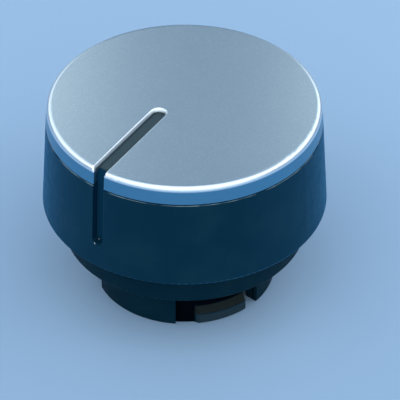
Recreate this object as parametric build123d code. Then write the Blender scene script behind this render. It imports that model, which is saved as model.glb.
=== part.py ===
from build123d import *
import math
import os

# Washing machine control knob, in millimetres, +Z up.
# The origin lies on the knob's axis, level with the foot of the base ring.
# The pointer faces -Y. Azimuths are in degrees from -Y towards +X.

# Overall form
rim_radius = 25.0            # grip shell at its lower rim
rim_flare = 1.0              # how far the rim stands out beyond the seam
cap_draft = 0.3              # how far the cap's side leans in from seam to top
rim_height = 16.6            # lower rim above the foot
grip_height = 16.7           # lower rim to seam
cap_height = 3.4             # seam to flat top
collar_height = 9.9          # collar's lower face above the foot
base_step = 5.4              # from the collar's side in to the base ring's

# Pointer: a slot through the cap that runs on as a groove down the grip
pointer_width = 2.1          # at the slot's floor, and down the groove
pointer_offset = -2.27       # the slot runs beside the axis, parallel to Y
pointer_tip = -3.7           # inner end of the slot's floor, along Y
pointer_depth = 1.15         # of the groove in the grip's side
pointer_foot = 4.6           # end of the side groove above the lower rim
pointer_lean = 20.0          # slot's walls lean outwards, from floor to top
pointer_ease = 1.0           # rounding where a leaning wall meets the straight skirt
pointer_edge = 0.2           # rounding of the slot's edges
groove_edge = 0.2            # rounding of the groove's edges

# Top cap
lid = 0.95                   # depth of the slot, down to the shell's upper face
cap_edge = 0.9               # rounding of the cap's rim
skirt_clearance = 0.1        # cap skirt round the shell's spigot
seam_gap = 0.2               # fine joint under the skirt
stud_radius = 1.3
stud_clearance = 0.1
stake_clearance = 0.3        # round the head formed on the stud, in the carrier's trench
stake_height = 0.8
stake_edge = 0.35

# Grip shell
shell_wall = 2.2
collar_gap = 0.4             # from the shell's wall to the collar, at the seam
ceiling = 1.8
shell_lip = 0.25             # chamfer of the shell's upper edge
rim_edge = 0.3               # rounding of the lower rim
spigot_edge = 1.5
crush_rib_width = 1.4
crush_rib_count = 12
crush_rib_start = 3.0        # above the lower rim
crush_clearance = 0.1
key_widths = (3.0, 3.0, 4.0)  # one wide key, so the parts go together one way only
key_length = 5.5
key_reach = 2.2              # inwards from the collar's outside
key_clearance = 0.15
arm_width = 6.0
arm_thickness = 1.5
arm_length = 8.6
arm_clearance = 0.2
barb_reach = 1.1
barb_height = 2.2
barb_ramp = 1.4
window_clearance = 0.25

# Hub carrier
collar_wall = 1.8
flange = 1.8
base_wall = 2.4
tube_wall = 1.6
collar_edge = 0.35
foot_edge = 0.4
brace_thickness = 1.4
brace_drop = 4.0             # braces end this far below the ceiling
finger_count = 3
finger_azimuth = 57.5
finger_width = 8.7
finger_root = 4.05           # thinned wall that each finger springs from
finger_gap = 2.9             # open gap past each finger's free end
finger_slit = 1.0            # free height over each finger
finger_roof = 0.2            # wall kept between the openings round a finger and the collar's seat
lip_height = 2.0
lip_slope = 1.8              # height over which the lip slopes back to the thinned wall
lip_lead = 0.3               # lead-in chamfer at the foot of each lip
lip_ramp = 0.8               # along the wall, where the lip rises from the root

# Shaft sleeve
shaft_radius = 3.0
shaft_flat = 1.5             # axis to the flat of the shaft
shaft_clearance = 0.05
sleeve_mouth = 2.0           # above the foot
mouth_relief = 0.2           # round mouth of the socket, beyond the D section's radius
lead_in = 0.6
round_length = 3.5           # round part of the socket
socket_length = 16.0
sleeve_wall = 1.65
fin_reach = 1.53             # sleeve's side to the clamp ring's seat
sleeve_cap = 2.0             # solid end above the socket
fin_count = 8
fin_thickness = 1.4
shoulder_height = 1.2
shoulder_reach = 0.8         # beyond the clamp ring's seat
slit_width = 1.0
slit_overrun = 2.0           # slit above the clamp ring
web_count = 4
web_thickness = 1.4
web_height = 7.0

# Clamp ring
clamp_wall = 0.5
clamp_height = 7.5
clamp_fit = 0.02             # radial clearance on the fins
clamp_foot = 0.6             # sleeve left bare below the ring
clamp_gap = 0.25             # between the rolled ends
clamp_azimuth = 120.0        # joint of the rolled ends
clamp_notch = 2.6            # width of the notches beside the joint
tongue_height = 3.2          # what the two notches leave
lance_azimuth = 45.0
lance_width = 1.8
lance_lift = 0.3
lance_slot = 0.35
lance_length = 1.3
lance_level = 2.3            # above the ring's lower edge

# Derived sizes
seam_radius = rim_radius - rim_flare
cap_top_radius = seam_radius - cap_draft
collar_radius = seam_radius - shell_wall - collar_gap
base_radius = collar_radius - base_step
seam_level = rim_height + grip_height
top_level = seam_level + cap_height
deck_level = top_level - lid                     # shell's upper face, floor of the slot
ceiling_level = deck_level - ceiling
shoulder_seat = seam_level - seam_gap            # shell's upper edge, under the skirt
spigot_radius = seam_radius - pointer_depth
shell_slope = (seam_radius - rim_radius) / grip_height
collar_inner = collar_radius - collar_wall
tube_inner = base_radius - base_wall
tube_outer = tube_inner + tube_wall
flange_top = collar_height + flange
stud_circle = (tube_outer + collar_inner) / 2
stake_radius = (collar_inner - tube_outer) / 2 - stake_clearance
bore_radius = shaft_radius + shaft_clearance
sleeve_radius = bore_radius + sleeve_wall
seat_radius = sleeve_radius + fin_reach
clamp_inner = seat_radius + clamp_fit
clamp_radius = clamp_inner + clamp_wall
clamp_level = sleeve_mouth + clamp_foot
clamp_top = clamp_level + clamp_height
socket_end = sleeve_mouth + socket_length
sleeve_end = socket_end + sleeve_cap
arm_outer = collar_inner - arm_clearance
arm_end = ceiling_level - arm_length
pitch = 360.0 / finger_count
overlap = 0.3                                    # how far joined features run into each other
beyond = 2.0                                     # how far a cut runs past the material


def grip_radius(level):
    """Radius of the shell's tapered outside at a level."""
    return rim_radius + shell_slope * (level - rim_height)


def polar(azimuth, radius=0.0, level=0.0):
    """Place at an azimuth, with local +X pointing outwards."""
    return Rot(0, 0, azimuth - 90) * Pos(radius, 0, level)


def turned(corners):
    """Solid of revolution about Z. A corner is (radius, level) or (radius, level, rounding)."""
    face = make_face(Polyline(*[corner[:2] for corner in corners], close=True))
    for corner in corners:
        if len(corner) == 3:
            vertex = face.vertices().sort_by_distance((corner[0], corner[1], 0))[0]
            face = fillet(vertex, corner[2])
    return revolve(Plane.XZ * face, Axis.Z)


def tube(inner, outer, low, high):
    return turned([(inner, low), (outer, low), (outer, high), (inner, high)])


def spoke(inner, outer, width, low, high, azimuth):
    """Straight-sided block that runs outwards between two radii."""
    block = Box(outer - inner, width, high - low, align=(Align.MIN, Align.CENTER, Align.MIN))
    return polar(azimuth, inner, low) * block


def repeated(azimuth, count=finger_count):
    """Azimuths of an evenly spaced ring of features."""
    return [azimuth + 360.0 * index / count for index in range(count)]


# Each third of the knob holds, in turn: key, brace, snap arm, cap stud.
key_azimuths = repeated(finger_azimuth)
brace_azimuths = repeated(finger_azimuth + pitch / 4)
arm_azimuths = repeated(finger_azimuth + pitch / 2)
stud_azimuths = repeated(finger_azimuth + pitch * 3 / 4)


def pointer_slot():
    """Slot for the pointer: straight through the skirt, then widening to the cap's top."""
    tip_centre = pointer_tip - pointer_width / 2
    length = rim_radius + beyond + tip_centre
    strip = Pos(pointer_offset, tip_centre - length / 2) * Rectangle(pointer_width, length)
    plan = strip + Pos(pointer_offset, tip_centre) * Circle(pointer_width / 2)
    skirt = extrude(Pos(0, 0, seam_level - beyond) * plan, deck_level - seam_level + beyond)
    mouth = extrude(Pos(0, 0, deck_level) * plan, lid + overlap, taper=-pointer_lean)
    slot = skirt + mouth
    bends = [edge for edge in slot.edges().filter_by_position(Axis.Z, deck_level, deck_level)
             if (edge @ 0.5).Y > -rim_radius]
    return fillet(bends, pointer_ease)


def pointer_groove():
    """Side groove: as wide as the slot, round at its foot, as deep as the slot everywhere."""
    foot_centre = rim_height + pointer_foot + pointer_width / 2
    height = top_level + beyond - foot_centre
    strip = Pos(pointer_offset, foot_centre + height / 2) * Rectangle(pointer_width, height)
    front = strip + Pos(pointer_offset, foot_centre) * Circle(pointer_width / 2)
    prism = extrude(Plane.XZ * front, rim_radius + beyond)
    skin = turned([
        (rim_radius - pointer_depth, rim_height),
        (rim_radius + beyond, rim_height),
        (rim_radius + beyond, seam_level + beyond),
        (spigot_radius, seam_level + beyond),
        (spigot_radius, seam_level),
    ])
    return prism & skin


def pointer_outline(solid, on_skin):
    """Edges of the pointer's cut whose middle lies on the outside of the knob."""
    side = pointer_width / 2 + lid * math.tan(math.radians(pointer_lean)) + 0.05
    chosen = []
    for edge in solid.edges():
        middle = edge @ 0.5
        if abs(middle.X - pointer_offset) < side and middle.Y < pointer_tip + side and on_skin(middle):
            chosen.append(edge)
    return chosen


def on_cap(point):
    radius = math.hypot(point.X, point.Y)
    side = radius > (spigot_radius + cap_top_radius) / 2 and point.Z > seam_level + 0.01
    return side or point.Z > top_level - 0.01


def on_grip(point):
    return math.hypot(point.X, point.Y) > grip_radius(point.Z) - shell_lip


def build_cap():
    """Thin lid with a short skirt, slotted for the pointer, on three staked studs."""
    skirt_inner = spigot_radius + skirt_clearance
    cap = turned([
        (0, deck_level),
        (skirt_inner, deck_level, spigot_edge + skirt_clearance),
        (skirt_inner, seam_level),
        (seam_radius, seam_level),
        (cap_top_radius, top_level, cap_edge),
        (0, top_level),
    ])
    cap -= pointer_slot()
    cap = fillet(pointer_outline(cap, on_cap), pointer_edge)
    for azimuth in stud_azimuths:
        stud = Pos(0, 0, ceiling_level - stake_height) * Cylinder(
            stud_radius, deck_level + overlap - ceiling_level + stake_height,
            align=(Align.CENTER, Align.CENTER, Align.MIN))
        stake = Pos(0, 0, ceiling_level - stake_height) * Cylinder(
            stake_radius, stake_height, align=(Align.CENTER, Align.CENTER, Align.MIN))
        stake = fillet(stake.edges().group_by(Axis.Z)[0], stake_edge)
        cap += polar(azimuth, stud_circle) * (stud + stake)
    return cap


def snap_arm(azimuth):
    """Arm that hangs from the shell's ceiling, with a barb on its outer face."""
    section = turned([
        (arm_outer - arm_thickness, arm_end),
        (arm_outer, arm_end),
        (arm_outer + barb_reach, arm_end + barb_ramp),
        (arm_outer + barb_reach, arm_end + barb_height),
        (arm_outer, arm_end + barb_height),
        (arm_outer, ceiling_level + overlap),
        (arm_outer - arm_thickness, ceiling_level + overlap),
    ])
    return section & spoke(0, collar_radius, arm_width, arm_end - beyond, ceiling_level + beyond, azimuth)


def build_shell():
    """Flared outer moulding, open below, with the seats for the cap and the carrier."""
    blank = turned([
        (0, rim_height),
        (rim_radius, rim_height, rim_edge),
        (grip_radius(shoulder_seat - shell_lip), shoulder_seat - shell_lip),
        (grip_radius(shoulder_seat) - shell_lip, shoulder_seat),
        (spigot_radius, shoulder_seat),
        (spigot_radius, deck_level, spigot_edge),
        (0, deck_level),
    ])
    cavity = turned([
        (0, rim_height),
        (rim_radius - shell_wall, rim_height),
        (grip_radius(ceiling_level) - shell_wall, ceiling_level),
        (0, ceiling_level),
    ])
    for azimuth in repeated(finger_azimuth + 180.0 / crush_rib_count, crush_rib_count):
        cavity -= spoke(collar_radius + crush_clearance, rim_radius, crush_rib_width,
                        rim_height + crush_rib_start, ceiling_level, azimuth)
    for azimuth, width in zip(key_azimuths, key_widths):
        cavity -= spoke(collar_radius - key_reach, rim_radius, width,
                        ceiling_level - key_length, ceiling_level, azimuth)
    shell = blank - cavity
    for azimuth in arm_azimuths:
        shell += snap_arm(azimuth)
    for azimuth in stud_azimuths:
        shell -= polar(azimuth, stud_circle, ceiling_level) * Cylinder(
            stud_radius + stud_clearance, 2 * ceiling + beyond)
    shell -= pointer_groove()
    return fillet(pointer_outline(shell, on_grip), groove_edge)


def carrier_blank():
    """Two cups back to back: the base ring opens downwards, the collar upwards."""
    return turned([
        (tube_inner, 0),
        (base_radius, 0, foot_edge),
        (base_radius, collar_height),
        (collar_radius, collar_height, collar_edge),
        (collar_radius, ceiling_level),
        (collar_inner, ceiling_level),
        (collar_inner, flange_top),
        (tube_outer, flange_top),
        (tube_outer, ceiling_level),
        (tube_inner, ceiling_level),
    ])


def beside(azimuth, start, end, low, high):
    """Block across the base ring's wall, between two distances to one side of an azimuth."""
    inner = base_radius - 3 * base_wall
    block = Box(base_radius + beyond - inner, end - start, high - low,
                align=(Align.MIN, Align.MIN, Align.MIN))
    return polar(azimuth) * Pos(inner, start, low) * block


def snap_lip(azimuth):
    """Lip at a finger's foot: it rises from the root as a ramp and slopes back above."""
    side = finger_width / 2
    nose = math.sqrt(base_radius ** 2 - side ** 2)
    ramp_foot = math.sqrt(tube_outer ** 2 - (side + lip_ramp) ** 2)
    inner = tube_outer - base_wall
    plan = make_face(Polyline(
        (inner, -side - lip_ramp), (ramp_foot, -side - lip_ramp), (nose, -side),
        (base_radius + beyond, -side), (base_radius + beyond, side + finger_gap / 2),
        (inner, side + finger_gap / 2), close=True))
    section = turned([
        (tube_outer - overlap, 0),
        (base_radius - lip_lead, 0),
        (base_radius, lip_lead),
        (base_radius, lip_height),
        (tube_outer, lip_height + lip_slope),
        (tube_outer - overlap, lip_height + lip_slope),
    ])
    return section & (polar(azimuth) * extrude(plan, lip_height + lip_slope))


def cut_finger(body, azimuth):
    """Free one snap finger: thinned wall with a lip, an open gap past it and a slit over it."""
    side = finger_width / 2
    root = -side - finger_root
    end = side + finger_gap / 2
    roof = collar_height - finger_roof
    thinned = tube(tube_outer, base_radius + beyond, -beyond, roof)
    body -= thinned & beside(azimuth, root, end, -2 * beyond, collar_height + beyond)
    body += snap_lip(azimuth)
    gap_azimuth = azimuth + math.degrees(math.asin(end / base_radius))
    body -= spoke(base_radius - 3 * base_wall, base_radius + beyond, finger_gap,
                  -beyond, roof, gap_azimuth)
    return body - beside(azimuth, root, end, roof - finger_slit, roof)


def socket():
    """Shaft socket: a round mouth with a lead-in, then a D section up to its blind end."""
    mouth_radius = bore_radius + mouth_relief
    mouth = turned([
        (0, sleeve_mouth - beyond),
        (mouth_radius + lead_in, sleeve_mouth - beyond),
        (mouth_radius + lead_in, sleeve_mouth),
        (mouth_radius, sleeve_mouth + lead_in),
        (mouth_radius, sleeve_mouth + round_length),
        (0, sleeve_mouth + round_length),
    ])
    flat = shaft_flat + shaft_clearance
    keep = Pos(0, flat - rim_radius) * Rectangle(2 * rim_radius, 2 * rim_radius)
    section = Circle(bore_radius) & keep
    deep = extrude(Pos(0, 0, sleeve_mouth + round_length) * section, socket_length - round_length)
    return mouth + deep


def build_sleeve():
    """Split, finned sleeve: the fins carry the clamp ring and end under a shoulder."""
    sleeve = tube(0, sleeve_radius, sleeve_mouth, sleeve_end)
    seat = turned([
        (0, sleeve_mouth),
        (seat_radius, sleeve_mouth, clamp_foot / 2),
        (seat_radius, clamp_top + overlap),
        (0, clamp_top + overlap),
    ])
    for azimuth in repeated(180.0 / fin_count, fin_count):
        fin = spoke(bore_radius, clamp_radius, fin_thickness, sleeve_mouth, clamp_top + overlap, azimuth)
        sleeve += fin & seat
    sleeve += tube(0, seat_radius + shoulder_reach, clamp_top, clamp_top + shoulder_height)
    for azimuth in repeated(45.0, web_count):
        sleeve += spoke(bore_radius, tube_inner + overlap, web_thickness,
                        sleeve_end - web_height, sleeve_end, azimuth)
    sleeve -= Pos(0, 0, sleeve_mouth - beyond) * Box(
        2 * (seat_radius + beyond), slit_width, clamp_top + slit_overrun + beyond - sleeve_mouth,
        align=(Align.CENTER, Align.CENTER, Align.MIN))
    return sleeve - socket()


def build_carrier():
    """Inner moulding: collar, base ring with snap fingers, and the shaft sleeve on its webs."""
    carrier = carrier_blank()
    for azimuth in key_azimuths:
        carrier = cut_finger(carrier, azimuth)
    for azimuth in brace_azimuths:
        carrier += spoke(tube_outer - overlap, collar_inner + overlap, brace_thickness,
                         flange_top - overlap, ceiling_level - brace_drop, azimuth)
    for azimuth, width in zip(key_azimuths, key_widths):
        carrier -= spoke(collar_inner - beyond / 2, collar_radius + beyond, width + 2 * key_clearance,
                         ceiling_level - key_length - key_clearance, ceiling_level + beyond, azimuth)
    for azimuth in arm_azimuths:
        carrier -= spoke(collar_inner - beyond / 2, collar_radius + beyond,
                         arm_width + 2 * window_clearance, arm_end - window_clearance,
                         arm_end + barb_height + window_clearance, azimuth)
    return carrier + build_sleeve()


def build_clamp():
    """Rolled spring steel band with narrowed ends that meet, and a lance pressed inwards."""
    band = tube(clamp_inner, clamp_radius, clamp_level, clamp_top)
    notch_height = (clamp_height - tongue_height) / 2
    reach = clamp_radius + beyond
    for low, high in ((clamp_level - beyond, clamp_level + notch_height),
                      (clamp_top - notch_height, clamp_top + beyond)):
        band -= spoke(0, reach, clamp_notch, low, high, clamp_azimuth)
    band -= spoke(0, reach, clamp_gap, clamp_level - beyond, clamp_top + beyond, clamp_azimuth)
    low = clamp_level + lance_level
    window = spoke(0, reach, lance_width, low - beyond, low + beyond, lance_azimuth)
    middle = clamp_inner + clamp_wall / 2
    pressed = turned([(middle, low), (clamp_inner - lance_lift, low),
                      (clamp_inner, low + lance_length), (middle, low + lance_length)])
    dent = turned([(clamp_radius, low), (clamp_radius, low + lance_length),
                   (clamp_radius - lance_lift, low)])
    band = band + (pressed & window) - (dent & window)
    return band - spoke(0, reach, lance_width, low - lance_slot, low, lance_azimuth)


parts = {
    "top_cap": build_cap(),
    "grip_shell": build_shell(),
    "hub_carrier": build_carrier(),
    "clamp_ring": build_clamp(),
}

os.makedirs("parts", exist_ok=True)
for name, shape in parts.items():
    solids = shape.solids()
    if len(solids) != 1:
        raise SystemExit(f"{name} is {len(solids)} solids")
    export_step(solids[0], f"parts/{name}.step")
    print(name, round(solids[0].volume, 1))
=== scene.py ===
import math

import bpy
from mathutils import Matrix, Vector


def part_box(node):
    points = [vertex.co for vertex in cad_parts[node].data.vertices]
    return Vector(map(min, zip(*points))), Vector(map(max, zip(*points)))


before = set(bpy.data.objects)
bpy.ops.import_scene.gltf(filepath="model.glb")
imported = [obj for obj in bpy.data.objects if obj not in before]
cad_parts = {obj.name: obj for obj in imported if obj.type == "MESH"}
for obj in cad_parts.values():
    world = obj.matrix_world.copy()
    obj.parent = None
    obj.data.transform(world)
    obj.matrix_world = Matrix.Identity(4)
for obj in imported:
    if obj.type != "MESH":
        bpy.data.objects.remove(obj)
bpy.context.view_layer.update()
bpy.ops.object.select_all(action="DESELECT")
mm = 0.001
noiseEnds = (0.3, 0.7)       # a noise keeps mostly between these
print("frame loaded")


def newMaterial(name):
    material = bpy.data.materials.new(name)
    material.use_nodes = True
    return material, material.node_tree.nodes["Principled BSDF"]


# node helpers; every pattern on the knob reads Object coordinates, in metres
class NodeKit:
    def __init__(self, tree, coordinates="Object"):
        self.nodes, self.links = tree.nodes, tree.links
        self.place = self.nodes.new("ShaderNodeTexCoord").outputs[coordinates]

    def feed(self, socket, value):
        if isinstance(value, bpy.types.NodeSocket):
            self.links.new(value, socket)
        else:
            socket.default_value = value

    def axes(self):
        node = self.nodes.new("ShaderNodeSeparateXYZ")
        self.links.new(self.place, node.inputs["Vector"])
        return node.outputs["X"], node.outputs["Y"], node.outputs["Z"]

    def radius(self):
        x, y, _ = self.axes()
        squares = self.maths("ADD", self.maths("MULTIPLY", x, x), self.maths("MULTIPLY", y, y))
        return self.maths("SQRT", squares)

    def stretched(self, scale):
        node = self.nodes.new("ShaderNodeMapping")
        self.links.new(self.place, node.inputs["Vector"])
        node.inputs["Scale"].default_value = scale
        return node.outputs["Vector"]

    def noise(self, size, detail=2.0, rough=0.5, vector=None):       # size is one blotch's width
        node = self.nodes.new("ShaderNodeTexNoise")
        self.links.new(vector or self.place, node.inputs["Vector"])
        node.inputs["Scale"].default_value = 1 / size
        node.inputs["Detail"].default_value = detail
        node.inputs["Roughness"].default_value = rough
        return node.outputs["Fac"]

    def cells(self, size):
        node = self.nodes.new("ShaderNodeTexVoronoi")
        self.links.new(self.place, node.inputs["Vector"])
        node.inputs["Scale"].default_value = 1 / size
        return node

    def maths(self, how, first, second=0.0):
        node = self.nodes.new("ShaderNodeMath")
        node.operation = how
        self.feed(node.inputs[0], first)
        self.feed(node.inputs[1], second)
        return node.outputs["Value"]

    def fit(self, value, low, high, toLow=0.0, toHigh=1.0, smooth=True):
        node = self.nodes.new("ShaderNodeMapRange")
        node.interpolation_type = "SMOOTHSTEP" if smooth else "LINEAR"
        self.feed(node.inputs["Value"], value)
        ends = {"From Min": low, "From Max": high, "To Min": toLow, "To Max": toHigh}
        for name, number in ends.items():
            node.inputs[name].default_value = number
        return node.outputs["Result"]

    def rises(self, value, ends, base=0.0):       # a mask, 0 up to the first end and 1 past the second
        return self.fit(value, base + ends[0], base + ends[1])

    def falls(self, value, ends, base=0.0):       # the other way round, from 1 to 0
        return self.fit(value, base + ends[0], base + ends[1], 1.0, 0.0)

    def overlap(self, *masks):       # where all of the masks hold
        result = masks[0]
        for mask in masks[1:]:
            result = self.maths("MULTIPLY", result, mask)
        return result

    def without(self, mask):
        return self.maths("SUBTRACT", 1.0, mask)

    def tint(self, amount, first, second):
        node = self.nodes.new("ShaderNodeMix")
        node.data_type = "RGBA"
        self.feed(node.inputs["Factor"], amount)
        self.feed(node.inputs[6], first)       # 6, 7 and 2 are this node's colour sockets
        self.feed(node.inputs[7], second)
        return node.outputs[2]

    def roughness(self, pattern, finish):       # varies by the spread about the finish's own value
        middle, spread = finish["roughness"], finish["roughSpread"]
        return self.fit(pattern, *noiseEnds, middle - spread, middle + spread)

    def bump(self, height, depth, under=None):
        node = self.nodes.new("ShaderNodeBump")
        node.inputs["Strength"].default_value = 1.0
        node.inputs["Distance"].default_value = depth
        self.links.new(height, node.inputs["Height"])
        if under is not None:
            self.links.new(under, node.inputs["Normal"])
        return node.outputs["Normal"]


# silver coating of the cap: satin metallic lacquer with fine flakes over moulded plastic
# each pair is where a tint's edge starts and ends; levels are from the cap's top
silver = {
    "colour": (0.575, 0.715, 0.765, 1),
    "metallic": 0.9, "roughness": 0.33, "roughSpread": 0.01, "roughPatch": 2.2 * mm,
    "shadeColour": (0.545, 0.685, 0.745, 1),
    "shadePatch": 9 * mm, "shadeEnds": (0.35, 0.68), "shadeAmount": 0.10,
    "flakeColour": (0.81, 0.90, 0.94, 1),
    "flakeSize": 0.16 * mm, "flakeEnds": (0.55, 1.0), "flakeAmount": 0.55, "flakeDepth": 0.0006 * mm,
    "peelSize": 1.1 * mm, "peelDepth": 0.0012 * mm,       # orange peel of the lacquer
    "dustColour": (0.80, 0.86, 0.92, 1),
    "dustGap": 2.6 * mm, "dustEnds": (0.035, 0.055), "dustPatch": 5 * mm, "patchEnds": (0.52, 0.60),
    # painted highlight: a paler tint over the rim's rounded edge
    "rimHighlightColour": (0.72, 0.82, 0.88, 1),
    "rimHighlightRadii": (23.0 * mm, 23.25 * mm), "rimHighlightLevels": (-0.10 * mm, -0.02 * mm),
    # painted reflection: the skirt's band darker and bluer than the top
    "skirtReflectionColour": (0.10, 0.29, 0.44, 1), "skirtReflectionLevels": (-1.15 * mm, -0.85 * mm),
    "slotCentre": -2.27 * mm, "slotSide": (1.65 * mm, 1.75 * mm), "slotEnd": (-1.7 * mm, -1.6 * mm),
    # painted highlight on the slot's rounded lip
    "slotHighlightColour": (0.86, 0.92, 0.96, 1), "slotHighlightLevels": (-0.06 * mm, -0.005 * mm),
    # painted shade on the slot's walls, and a painted shadow line along their foot
    "wallColour": (0.44, 0.52, 0.55, 1), "wallLevels": (-0.70 * mm, -0.35 * mm),
    "footColour": (0.08, 0.10, 0.11, 1), "footLevels": (-0.80 * mm, -0.64 * mm),
    "mouthRadii": (23.15 * mm, 23.35 * mm),       # the rim beside the slot's mouth stays bright
}


def silverCoating():
    material, shader = newMaterial("satinSilver")
    kit = NodeKit(material.node_tree)
    across, depth, level = kit.axes()
    radius = kit.radius()
    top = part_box("top_cap")[1][2]

    cloud = kit.noise(silver["shadePatch"], detail=3)
    shade = kit.fit(cloud, *silver["shadeEnds"], 0.0, silver["shadeAmount"])
    colour = kit.tint(shade, silver["colour"], silver["shadeColour"])
    flakes = kit.cells(silver["flakeSize"]).outputs["Color"]
    glint = kit.fit(flakes, *silver["flakeEnds"], 0.0, silver["flakeAmount"], smooth=False)
    colour = kit.tint(glint, colour, silver["flakeColour"])

    # painted highlight on the rim's rounded edge
    rim = kit.overlap(kit.rises(radius, silver["rimHighlightRadii"]), kit.falls(level, silver["rimHighlightLevels"], top))
    colour = kit.tint(rim, colour, silver["rimHighlightColour"])
    # painted reflection on the skirt's band
    skirtReflection = kit.falls(level, silver["skirtReflectionLevels"], top)
    colour = kit.tint(skirtReflection, colour, silver["skirtReflectionColour"])
    speck = kit.falls(kit.cells(silver["dustGap"]).outputs["Distance"], silver["dustEnds"])
    patch = kit.rises(kit.noise(silver["dustPatch"], detail=0), silver["patchEnds"])
    colour = kit.tint(kit.overlap(speck, patch), colour, silver["dustColour"])

    # painted highlight on the slot's rounded lip, painted shade greying its walls, and a painted shadow
    # line along their foot
    off = kit.maths("ABSOLUTE", kit.maths("SUBTRACT", across, silver["slotCentre"]))
    slot = kit.overlap(kit.falls(off, silver["slotSide"]), kit.falls(depth, silver["slotEnd"]),
                       kit.without(skirtReflection))
    lip = kit.overlap(slot, kit.falls(level, silver["slotHighlightLevels"], top))
    colour = kit.tint(lip, colour, silver["slotHighlightColour"])
    walls = kit.overlap(slot, kit.falls(radius, silver["mouthRadii"]))
    for shadePart in ("wall", "foot"):
        mask = kit.overlap(walls, kit.falls(level, silver[shadePart + "Levels"], top))
        colour = kit.tint(mask, colour, silver[shadePart + "Colour"])

    kit.feed(shader.inputs["Base Color"], colour)
    shader.inputs["Metallic"].default_value = silver["metallic"]
    rough = kit.roughness(kit.noise(silver["roughPatch"], detail=4), silver)
    kit.feed(shader.inputs["Roughness"], rough)
    peel = kit.bump(kit.noise(silver["peelSize"]), silver["peelDepth"])
    kit.feed(shader.inputs["Normal"], kit.bump(flakes, silver["flakeDepth"], peel))
    return material


# dark plastic of the grip: fine spark-eroded texture, with a painted highlight in broken patches along
# its two edges
grip = {
    "colour": (0.0026, 0.020, 0.036, 1),
    "wornColour": (0.0045, 0.025, 0.041, 1), "wornPatch": 7 * mm, "wornEnds": (0.4, 0.7),
    "roughness": 0.46, "roughSpread": 0.07, "roughPatch": 1.6 * mm,
    # the blue tint of the gloss and the sheen is a painted reflection of blue surroundings
    "specular": 0.05, "reflectionTint": (0.10, 0.60, 1.0, 1),
    "sheen": 0.30, "sheenRoughness": 0.45, "sheenReflectionTint": (0.02, 0.40, 0.90, 1),
    "grain": 0.22 * mm, "grainDepth": 0.004 * mm,
    "deckLightColour": (0.046, 0.068, 0.072, 1),       # painted light: the floor of the slot, under the cap, paler as if lit from above
    "deckLightLevels": (-0.25 * mm, -0.05 * mm),       # from the grip's top
    # painted highlight along the shoulder and the lower rim, broken in patches
    "edgeHighlightColour": (0.15, 0.22, 0.25, 1), "edgeRadii": (23.2 * mm, 23.4 * mm),
    "edgePatch": 3.0 * mm, "patchEnds": (0.36, 0.66),
    "shoulderDrop": 0.2 * mm,       # the shoulder, which is the upper edge, is this far below the cap
    "shoulderStart": (-0.081 * mm, -0.045 * mm), "shoulderEnd": (0.009 * mm, 0.045 * mm),
    "lowerStart": (0.02 * mm, 0.06 * mm), "lowerEnd": (0.054 * mm, 0.099 * mm),
    "frontDepths": (-15 * mm, -14 * mm),       # what lies further forward is the grip's front
    # painted light: the groove's floor paler, against the shade that falls in it
    "grooveLightColour": (0.003, 0.027, 0.050, 1), "grooveCentre": -2.27 * mm, "grooveHalf": 1.05 * mm,
    "grooveSide": (-0.12 * mm, -0.02 * mm),       # from the half width
    "grooveFoot": (21.8 * mm, 22.2 * mm),
    "shadowColour": (0.0003, 0.0012, 0.0030, 1),       # the groove's left wall
    "shadowStart": (-0.10 * mm, -0.02 * mm), "shadowEnd": (0.02 * mm, 0.10 * mm),
    # painted glints at the groove's foot
    "glintColour": (0.50, 0.60, 0.66, 1), "glintCore": 0.4,
    "alongWeight": 0.6, "besideWeight": 2.0,       # a greater weight makes a glint smaller that way
    "paintedGlints": (       # place across, height and reach
        (-2.87 * mm, 21.26 * mm, 0.24 * mm),
        (-2.74 * mm, 21.54 * mm, 0.22 * mm),
    ),
}


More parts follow.
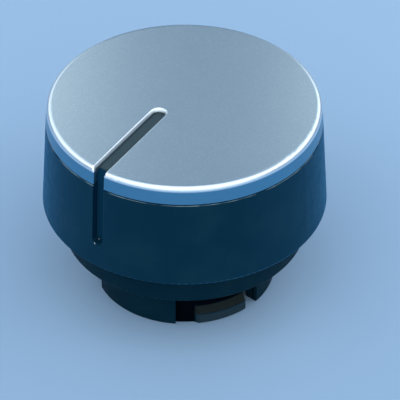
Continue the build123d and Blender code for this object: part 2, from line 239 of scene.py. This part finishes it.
def gripPlastic():
    material, shader = newMaterial("darkGrip")
    kit = NodeKit(material.node_tree)
    across, depth, level = kit.axes()
    low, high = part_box("grip_shell")
    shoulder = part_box("top_cap")[0][2] - grip["shoulderDrop"]

    cloud = kit.noise(grip["wornPatch"], detail=4, rough=0.6)
    colour = kit.tint(kit.rises(cloud, grip["wornEnds"]), grip["colour"], grip["wornColour"])
    # painted light on the slot's floor
    litDeck = kit.rises(level, grip["deckLightLevels"], high[2])
    colour = kit.tint(litDeck, colour, grip["deckLightColour"])

    # painted highlight along both edges
    upper = kit.overlap(kit.rises(level, grip["shoulderStart"], shoulder),
                        kit.falls(level, grip["shoulderEnd"], shoulder))
    lower = kit.overlap(kit.rises(level, grip["lowerStart"], low[2]),
                        kit.falls(level, grip["lowerEnd"], low[2]))
    patch = kit.rises(kit.noise(grip["edgePatch"], detail=3, rough=0.6), grip["patchEnds"])
    outside = kit.rises(kit.radius(), grip["edgeRadii"])
    edgeHighlight = kit.overlap(kit.maths("MAXIMUM", upper, lower), patch, outside)
    colour = kit.tint(edgeHighlight, colour, grip["edgeHighlightColour"])

    # side groove: its floor painted paler against the shade that falls in it, and a painted shadow on
    # its left wall
    front = kit.falls(depth, grip["frontDepths"])
    groove = kit.overlap(front, kit.without(litDeck), kit.rises(level, grip["grooveFoot"]))
    off, half = kit.maths("SUBTRACT", across, grip["grooveCentre"]), grip["grooveHalf"]
    litGrooveFloor = kit.falls(kit.maths("ABSOLUTE", off), grip["grooveSide"], half)
    colour = kit.tint(kit.overlap(litGrooveFloor, groove), colour, grip["grooveLightColour"])
    shadow = kit.overlap(kit.rises(off, grip["shadowStart"], -half),
                         kit.falls(off, grip["shadowEnd"], -half))
    colour = kit.tint(kit.overlap(shadow, groove), colour, grip["shadowColour"])

    # painted glints: short bright dashes at the groove's foot that slant down to the right
    for side, height, reach in grip["paintedGlints"]:
        over, rise = kit.maths("SUBTRACT", across, side), kit.maths("SUBTRACT", level, height)
        along = kit.maths("ABSOLUTE", kit.maths("SUBTRACT", over, rise))
        beside = kit.maths("ABSOLUTE", kit.maths("ADD", over, rise))
        away = kit.maths("ADD", kit.maths("MULTIPLY", along, grip["alongWeight"]),
                         kit.maths("MULTIPLY", beside, grip["besideWeight"]))
        paintedGlint = kit.overlap(kit.falls(away, (grip["glintCore"] * reach, reach)), front)
        colour = kit.tint(paintedGlint, colour, grip["glintColour"])

    kit.feed(shader.inputs["Base Color"], colour)
    shader.inputs["Specular IOR Level"].default_value = grip["specular"]
    shader.inputs["Specular Tint"].default_value = grip["reflectionTint"]
    shader.inputs["Sheen Weight"].default_value = grip["sheen"]
    shader.inputs["Sheen Roughness"].default_value = grip["sheenRoughness"]
    shader.inputs["Sheen Tint"].default_value = grip["sheenReflectionTint"]
    rough = kit.roughness(kit.noise(grip["roughPatch"], detail=5, rough=0.65), grip)
    kit.feed(shader.inputs["Roughness"], rough)
    grain = kit.bump(kit.noise(grip["grain"], detail=3, rough=0.6), grip["grainDepth"])
    kit.feed(shader.inputs["Normal"], grain)
    return material


# the carrier's plastic is the same, moulded a little smoother, with painted shade, near black and
# rougher, inside its notches
# radii are from the base ring's thinned wall or its outside; levels are from the fingers' lips, the
# collar or the foot
carrier = {
    "colour": (0.0013, 0.0155, 0.027, 1),
    "wornColour": (0.003, 0.019, 0.030, 1), "wornPatch": 5 * mm, "wornEnds": (0.4, 0.7),
    "roughness": 0.44, "roughSpread": 0.08, "roughPatch": 1.2 * mm,
    # the blue tint of the gloss is a painted reflection of blue surroundings
    "specular": 0.06, "reflectionTint": (0.10, 0.60, 1.0, 1),
    "grain": 0.3 * mm, "grainDepth": 0.003 * mm,
    "wallRadius": 15.2 * mm, "ringRadius": 16.0 * mm, "collarLevel": 9.9 * mm, "lipLevel": 2.0 * mm,
    "fingers": 3, "fingerTurn": math.radians(57.5), "fingerEnds": (0.50, 0.56),
    "slopeReflectionColour": (0.013, 0.016, 0.013, 1),       # painted reflection, greyer and warmer, on the upward-facing back slope of a finger's lip
    "slopeInside": (0.03 * mm, 0.12 * mm), "slopeOutside": (-0.12 * mm, -0.03 * mm),
    "slopeStart": (-0.05 * mm, 0.05 * mm), "slopeEnd": (-0.6 * mm, -0.4 * mm),
    "noseLightColour": (0.017, 0.035, 0.046, 1),       # painted light, paler, on the lead-in under it
    "noseRadii": (0.2 * mm, 0.4 * mm), "noseLevels": (-0.05 * mm, 0.05 * mm),
    # painted shade inside the notches
    "notchShadeColour": (0.0004, 0.0006, 0.0012, 1), "notchRoughness": 0.3,
    "notchInside": (-0.30 * mm, -0.10 * mm), "notchOutside": (0.03 * mm, 0.15 * mm),
    "notchFoot": (0.03 * mm, 0.10 * mm), "notchTop": (-0.1 * mm, 0.0),
}


def carrierPlastic():
    material, shader = newMaterial("darkCarrier")
    kit = NodeKit(material.node_tree)
    across, depth, level = kit.axes()
    radius = kit.radius()
    wall, ring = carrier["wallRadius"], carrier["ringRadius"]
    collar, lip = carrier["collarLevel"], carrier["lipLevel"]

    cloud = kit.noise(carrier["wornPatch"], detail=4, rough=0.6)
    worn = kit.rises(cloud, carrier["wornEnds"])
    colour = kit.tint(worn, carrier["colour"], carrier["wornColour"])

    turn = kit.maths("ARCTAN2", across, kit.maths("MULTIPLY", depth, -1.0))
    turn = kit.maths("SUBTRACT", turn, carrier["fingerTurn"])
    swing = kit.maths("COSINE", kit.maths("MULTIPLY", turn, carrier["fingers"]))
    finger = kit.rises(swing, carrier["fingerEnds"])
    # painted reflection on the lip's back slope
    slopeReflection = kit.overlap(kit.rises(radius, carrier["slopeInside"], wall),
                        kit.falls(radius, carrier["slopeOutside"], ring),
                        kit.rises(level, carrier["slopeStart"], lip),
                        kit.falls(level, carrier["slopeEnd"], collar))
    colour = kit.tint(kit.overlap(slopeReflection, finger), colour, carrier["slopeReflectionColour"])
    # painted shade, near black, on the recessed wall inside the notches
    notchShade = kit.overlap(kit.rises(radius, carrier["notchInside"], wall),
                        kit.falls(radius, carrier["notchOutside"], wall),
                        kit.rises(level, carrier["notchFoot"]),       # the foot's face stays plain
                        kit.falls(level, carrier["notchTop"], collar))
    colour = kit.tint(notchShade, colour, carrier["notchShadeColour"])
    # painted light on the lip's lead-in
    litNose = kit.overlap(kit.rises(radius, carrier["noseRadii"], wall),
                       kit.falls(level, carrier["noseLevels"], lip))
    colour = kit.tint(kit.overlap(finger, litNose), colour, carrier["noseLightColour"])

    kit.feed(shader.inputs["Base Color"], colour)
    shader.inputs["Specular IOR Level"].default_value = carrier["specular"]
    shader.inputs["Specular Tint"].default_value = carrier["reflectionTint"]
    rough = kit.roughness(kit.noise(carrier["roughPatch"], detail=5, rough=0.65), carrier)
    dull = kit.maths("MULTIPLY", notchShade, carrier["notchRoughness"])
    kit.feed(shader.inputs["Roughness"], kit.maths("ADD", rough, dull))
    grain = kit.bump(kit.noise(carrier["grain"], detail=3, rough=0.6), carrier["grainDepth"])
    kit.feed(shader.inputs["Normal"], grain)
    return material


# dark tempered spring steel, with drawn lines that run round the band
steel = {
    "colour": (0.045, 0.045, 0.050, 1), "metallic": 0.85, "roughness": 0.30, "roughSpread": 0.10,
    "temperColour": (0.085, 0.070, 0.060, 1), "temperPatch": 4 * mm, "temperEnds": (0.4, 0.7),
    "lineSize": 0.05 * mm, "lineStretch": (0.02, 0.02, 1), "lineDepth": 0.002 * mm,
}


def springSteel():
    material, shader = newMaterial("springSteel")
    kit = NodeKit(material.node_tree)
    temper = kit.rises(kit.noise(steel["temperPatch"], detail=3), steel["temperEnds"])
    kit.feed(shader.inputs["Base Color"], kit.tint(temper, steel["colour"], steel["temperColour"]))
    shader.inputs["Metallic"].default_value = steel["metallic"]
    drawn = kit.stretched(steel["lineStretch"])
    lines = kit.noise(steel["lineSize"], detail=3, rough=0.6, vector=drawn)
    kit.feed(shader.inputs["Roughness"], kit.roughness(lines, steel))
    kit.feed(shader.inputs["Normal"], kit.bump(lines, steel["lineDepth"]))
    return material


finishes = {
    "top_cap": silverCoating(),
    "grip_shell": gripPlastic(),
    "hub_carrier": carrierPlastic(),
    "clamp_ring": springSteel(),
}
for name, material in finishes.items():
    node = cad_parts[name]
    node.data.materials.clear()
    node.data.materials.append(material)
print("finishes assigned")

# plain pale floor
floorFinish = {"size": 4, "colour": (0.29, 0.44, 0.61, 1), "roughness": 0.9, "specular": 0.1}
bpy.ops.mesh.primitive_plane_add(size=floorFinish["size"], location=(0, 0, 0))
floor = bpy.context.object
floor.name = "studioFloor"
floorMaterial, floorShader = newMaterial("paleFloor")
floorShader.inputs["Base Color"].default_value = floorFinish["colour"]
floorShader.inputs["Roughness"].default_value = floorFinish["roughness"]
floorShader.inputs["Specular IOR Level"].default_value = floorFinish["specular"]
floor.data.materials.append(floorMaterial)
print("floor laid")

# soft lamps round the knob; azimuth and elevation are in degrees, measured like the camera's
softLamps = {
    "leftSoftbox": {"azimuth": -88, "elevation": 34, "distance": 0.18, "size": (0.32, 0.13),
                    "power": 0.155},
    "rightSoftbox": {"azimuth": 148, "elevation": 34, "distance": 0.18, "size": (0.32, 0.13),
                     "power": 0.19},
    "frontSoftbox": {"azimuth": 31.5, "elevation": 42, "distance": 0.50, "size": (1.95, 0.96),
                     "power": 7.9},
}
sky = {"horizonColour": (0.015, 0.08, 0.19, 1), "zenithColour": (0.17, 0.27, 0.40, 1)}
aimHeight = 25 * mm       # the lamps point at the axis, this far above the floor


def softLamp(name, lamp):
    turn, rise = math.radians(lamp["azimuth"]), math.radians(lamp["elevation"])
    out, up = lamp["distance"] * math.cos(rise), lamp["distance"] * math.sin(rise)
    place = (out * math.sin(turn), -out * math.cos(turn), up + aimHeight)
    bpy.ops.object.light_add(type="AREA", location=place, rotation=(math.pi / 2 - rise, 0, turn))
    box = bpy.context.object
    box.name = name
    box.data.shape = "RECTANGLE"
    box.data.size, box.data.size_y = lamp["size"]
    box.data.energy = lamp["power"]


def studioWorld():       # a plain sky, dimmer at the horizon than overhead
    world = bpy.data.worlds.new("studioWorld")
    bpy.context.scene.world = world
    world.use_nodes = True
    kit = NodeKit(world.node_tree, "Generated")
    _, _, height = kit.axes()
    rise = kit.fit(height, 0.0, 1.0, smooth=False)
    colour = kit.tint(rise, sky["horizonColour"], sky["zenithColour"])
    kit.feed(world.node_tree.nodes["Background"].inputs["Color"], colour)


for name, lamp in softLamps.items():
    softLamp(name, lamp)
studioWorld()
print("lamps placed")

# long lens from the front right, so that the slot runs down to the left
mainView = {
    "location": (0.2275, -0.3661, 0.3582), "tilt": math.radians(51.492), "turn": math.radians(31.5),
    "sensorWidth": 36, "lens": 281.0,
}
bpy.ops.object.camera_add(location=mainView["location"],
                          rotation=(mainView["tilt"], 0, mainView["turn"]))
camera = bpy.context.object
camera.name = "mainCamera"
camera.data.sensor_width = mainView["sensorWidth"]
camera.data.lens = mainView["lens"]
bpy.context.scene.camera = camera
bpy.context.scene.view_settings.view_transform = "Standard"
print("camera set")
